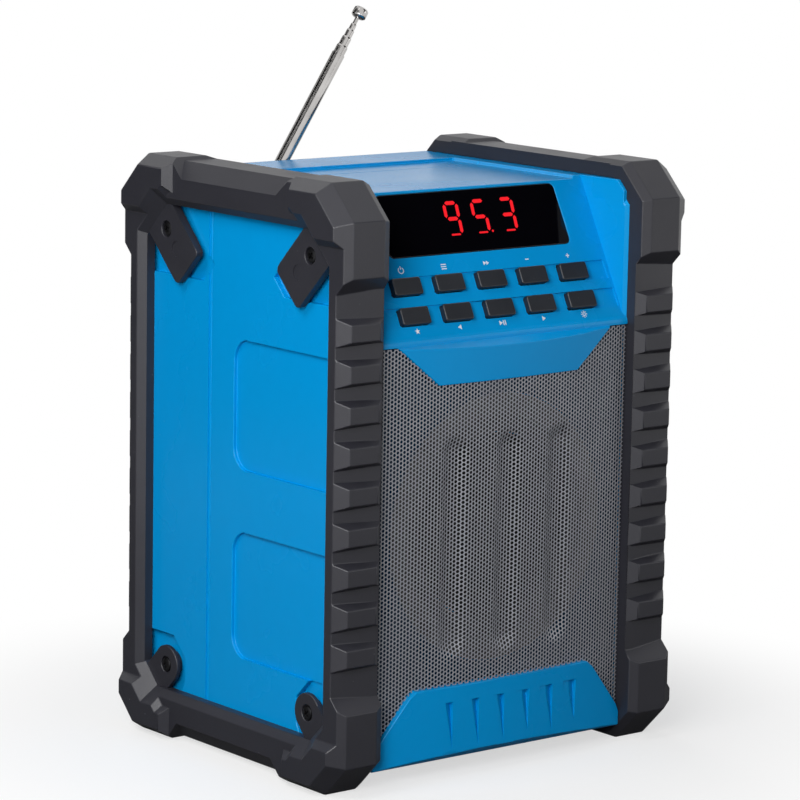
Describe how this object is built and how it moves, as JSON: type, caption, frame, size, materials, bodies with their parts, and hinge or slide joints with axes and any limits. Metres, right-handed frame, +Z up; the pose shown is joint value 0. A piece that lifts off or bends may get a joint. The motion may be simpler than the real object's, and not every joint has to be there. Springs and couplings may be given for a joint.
{
  "type": "jobsite radio",
  "caption": "Portable jobsite radio: blue housing with a bowed perforated front, sloped control panel with a lit display, thick treaded side frames and a telescopic antenna.",
  "frame": {"origin": "on the floor, under the middle of the box around the radio", "axes": "+Z up; the grille and the control panel face -Y; +X is on the right of someone who faces the front"},
  "size_m": [0.1806, 0.15, 0.2961],
  "materials": {
    "housing_plastic": "satin moulded blue",
    "frame_plastic": "satin moulded charcoal",
    "seal_rubber": "matt black rubber",
    "grille_steel": "grey painted perforated sheet",
    "window_plastic": "polished smoked plastic",
    "led_red": "dark red face with lit segments",
    "board_laminate": "green lacquered board",
    "switch_plastic": "black moulded",
    "button_plastic": "soft black satin",
    "basket_steel": "black painted pressing",
    "surround_rubber": "matt black rubber",
    "cone_paper": "matt black paper",
    "coil_copper": "varnished copper wire",
    "magnet_ferrite": "dark ferrite and plated steel",
    "plain_steel": "zinc plated",
    "heatsink_aluminium": "bare extruded",
    "cell_jacket": "blue shrink sleeve",
    "antenna_chrome": "polished plating",
    "black_screws": "black oxide"
  },
  "bodies": {
    "radio": {"front_shell": "housing_plastic", "rear_shell": "housing_plastic", "shell_seal": "seal_rubber", "left_frame": "frame_plastic", "right_frame": "frame_plastic", "grille": "grille_steel", "display_window": "window_plastic", "led_display": "led_red", "button_board": "board_laminate", "tact_switches": "switch_plastic", "speaker_basket": "basket_steel", "speaker_surround": "surround_rubber", "speaker_magnet": "magnet_ferrite", "speaker_screws": "plain_steel", "main_board": "board_laminate", "tuner_module": "plain_steel", "amplifier_heatsink": "heatsink_aluminium", "battery_pack": "cell_jacket", "battery_bracket": "switch_plastic", "port_board": "board_laminate", "dc_socket": "switch_plastic", "usb_socket": "plain_steel", "aux_socket": "switch_plastic", "frame_screws": "black_screws", "shell_screws": "black_screws", "board_screws": "plain_steel"},
    "power_button": {"power_button": "button_plastic"},
    "mode_button": {"mode_button": "button_plastic"},
    "scan_button": {"scan_button": "button_plastic"},
    "volume_down_button": {"volume_down_button": "button_plastic"},
    "volume_up_button": {"volume_up_button": "button_plastic"},
    "preset_button": {"preset_button": "button_plastic"},
    "previous_button": {"previous_button": "button_plastic"},
    "play_button": {"play_button": "button_plastic"},
    "next_button": {"next_button": "button_plastic"},
    "dimmer_button": {"dimmer_button": "button_plastic"},
    "cone": {"speaker_cone": "cone_paper", "dust_cap": "cone_paper", "voice_coil": "coil_copper"},
    "port_cover": {"port_cover": "seal_rubber"},
    "antenna_swivel": {"antenna_swivel": "antenna_chrome", "antenna_retainer": "antenna_chrome", "knuckle_pin": "antenna_chrome"},
    "antenna_tube_1": {"antenna_tube_1": "antenna_chrome"},
    "antenna_tube_2": {"antenna_tube_2": "antenna_chrome"},
    "antenna_tube_3": {"antenna_tube_3": "antenna_chrome"},
    "antenna_tube_4": {"antenna_tube_4": "antenna_chrome"},
    "antenna_tube_5": {"antenna_tube_5": "antenna_chrome"},
    "antenna_rod": {"antenna_rod": "antenna_chrome", "antenna_knob": "antenna_chrome"}
  },
  "joints": [
    {"name": "power_press", "type": "slide", "parent": "radio", "child": "power_button", "axis": [0, 0.8976, -0.4407], "range_m": [0, 0.001], "stiffness_N_per_m": 1500},
    {"name": "mode_press", "type": "slide", "parent": "radio", "child": "mode_button", "axis": [0, 0.8976, -0.4407], "range_m": [0, 0.001], "stiffness_N_per_m": 1500},
    {"name": "scan_press", "type": "slide", "parent": "radio", "child": "scan_button", "axis": [0, 0.8976, -0.4407], "range_m": [0, 0.001], "stiffness_N_per_m": 1500},
    {"name": "volume_down_press", "type": "slide", "parent": "radio", "child": "volume_down_button", "axis": [0, 0.8976, -0.4407], "range_m": [0, 0.001], "stiffness_N_per_m": 1500},
    {"name": "volume_up_press", "type": "slide", "parent": "radio", "child": "volume_up_button", "axis": [0, 0.8976, -0.4407], "range_m": [0, 0.001], "stiffness_N_per_m": 1500},
    {"name": "preset_press", "type": "slide", "parent": "radio", "child": "preset_button", "axis": [0, 0.8976, -0.4407], "range_m": [0, 0.001], "stiffness_N_per_m": 1500},
    {"name": "previous_press", "type": "slide", "parent": "radio", "child": "previous_button", "axis": [0, 0.8976, -0.4407], "range_m": [0, 0.001], "stiffness_N_per_m": 1500},
    {"name": "play_press", "type": "slide", "parent": "radio", "child": "play_button", "axis": [0, 0.8976, -0.4407], "range_m": [0, 0.001], "stiffness_N_per_m": 1500},
    {"name": "next_press", "type": "slide", "parent": "radio", "child": "next_button", "axis": [0, 0.8976, -0.4407], "range_m": [0, 0.001], "stiffness_N_per_m": 1500},
    {"name": "dimmer_press", "type": "slide", "parent": "radio", "child": "dimmer_button", "axis": [0, 0.8976, -0.4407], "range_m": [0, 0.001], "stiffness_N_per_m": 1500},
    {"name": "cone_travel", "type": "slide", "parent": "radio", "child": "cone", "axis": [0, 1, 0], "range_m": [-0.002, 0.002], "stiffness_N_per_m": 1500},
    {"name": "port_cover_hinge", "type": "hinge", "parent": "radio", "child": "port_cover", "pos_m": [0.03, 0.0665, 0.0529], "axis": [-1, 0, 0], "range_deg": [0, 90]},
    {"name": "antenna_turn", "type": "hinge", "parent": "radio", "child": "antenna_swivel", "pos_m": [-0.0251, 0.0716, 0.206], "axis": [0, 1, 0], "range_deg": [-83, 36]},
    {"name": "antenna_tilt", "type": "hinge", "parent": "antenna_swivel", "child": "antenna_tube_1", "pos_m": [-0.0251, 0.0716, 0.206], "axis": [-0.8339, 0, 0.5519], "range_deg": [0, 90]},
    {"name": "antenna_tube_2_slide", "type": "slide", "parent": "antenna_tube_1", "child": "antenna_tube_2", "axis": [0.5519, 0, 0.8339], "range_m": [0, 0.062]},
    {"name": "antenna_tube_3_slide", "type": "slide", "parent": "antenna_tube_2", "child": "antenna_tube_3", "axis": [0.5519, 0, 0.8339], "range_m": [0, 0.062]},
    {"name": "antenna_tube_4_slide", "type": "slide", "parent": "antenna_tube_3", "child": "antenna_tube_4", "axis": [0.5519, 0, 0.8339], "range_m": [0, 0.062]},
    {"name": "antenna_tube_5_slide", "type": "slide", "parent": "antenna_tube_4", "child": "antenna_tube_5", "axis": [0.5519, 0, 0.8339], "range_m": [0, 0.062]},
    {"name": "antenna_rod_slide", "type": "slide", "parent": "antenna_tube_5", "child": "antenna_rod", "axis": [0.5519, 0, 0.8339], "range_m": [0, 0.062]}
  ]
}
